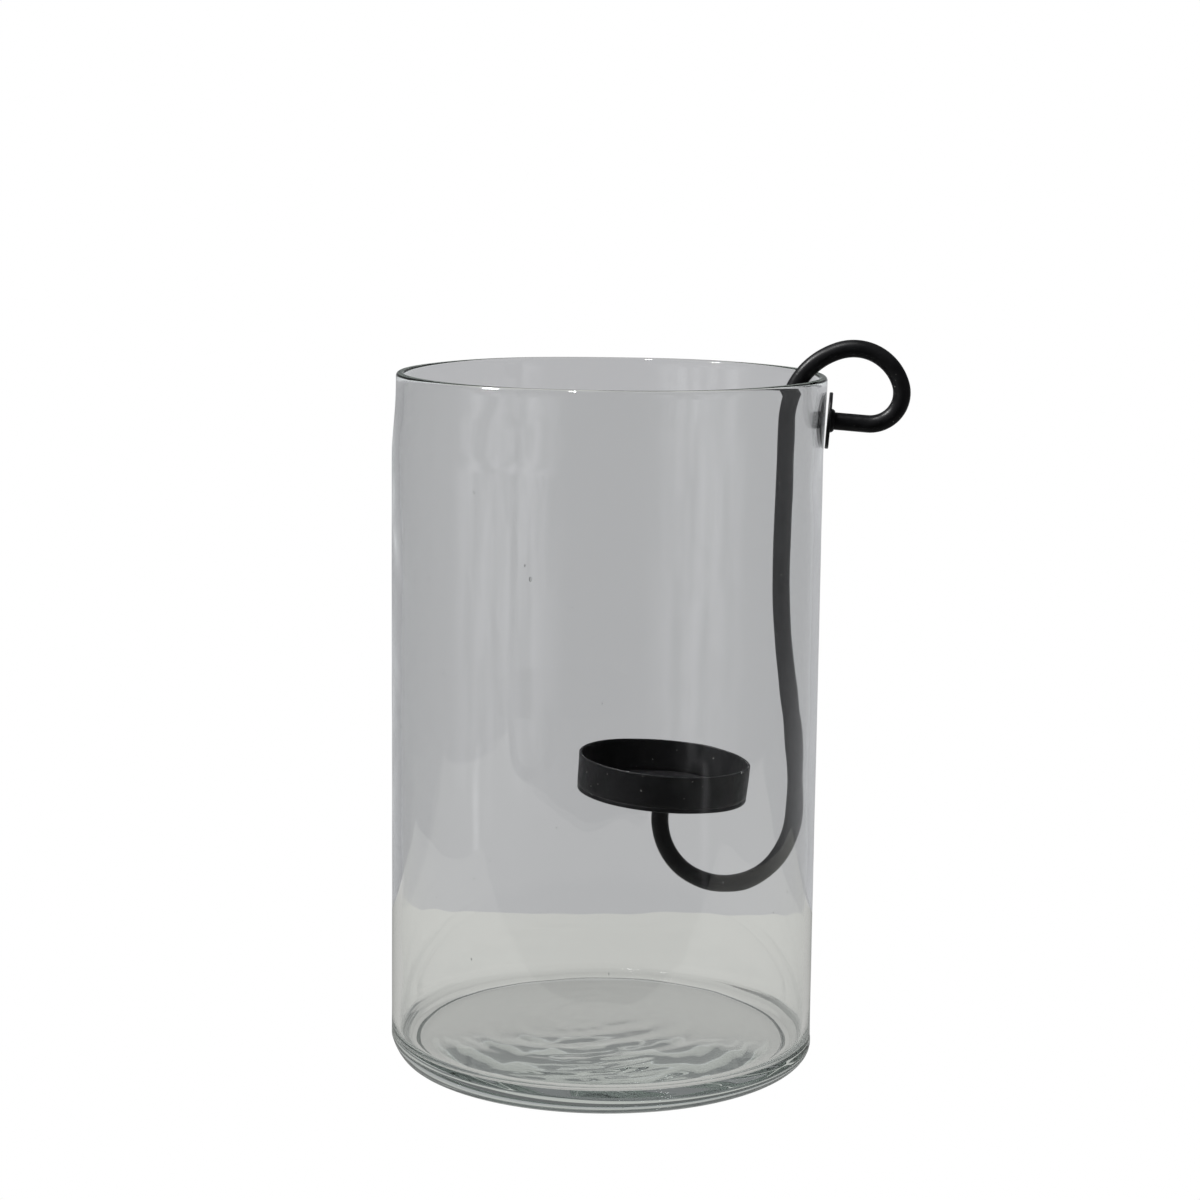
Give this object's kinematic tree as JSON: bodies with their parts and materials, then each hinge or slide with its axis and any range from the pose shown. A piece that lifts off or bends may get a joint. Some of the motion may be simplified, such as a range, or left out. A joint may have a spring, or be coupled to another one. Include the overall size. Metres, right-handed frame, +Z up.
{
  "type": "hurricane candle lantern",
  "caption": "Clear blown-glass cylinder hurricane with a bent black iron hanger hooked over its rim: finger loop outside, shallow tealight cup inside.",
  "frame": {"origin": "on the axis of the glass, at the level that it stands on", "axes": "+Z up along the glass axis; +X from the axis towards the finger loop, so that the hanger's bar lies in the XZ plane; +Y completes the right-handed frame"},
  "size_m": [0.1441, 0.1204, 0.2062],
  "materials": {
    "clear_glass": "clear hand-blown glass with a faint grey-green tint, soft waves and small seeds",
    "black_iron_bar": "satin black coating on a bent round iron bar",
    "black_iron_sheet": "satin to matt black coating on thin iron sheet"
  },
  "bodies": {
    "glass": {"glass_cylinder": "clear_glass"},
    "hanger": {"hanger_bar": "black_iron_bar", "foot_disc": "black_iron_bar", "foot_weld": "black_iron_bar", "cup_band": "black_iron_sheet", "cup_plate": "black_iron_sheet", "cup_weld": "black_iron_bar"}
  },
  "joints": [
    {"name": "hanger_lift", "type": "slide", "parent": "glass", "child": "hanger", "axis": [0, 0, 1], "range_m": [0, 0.155]}
  ]
}
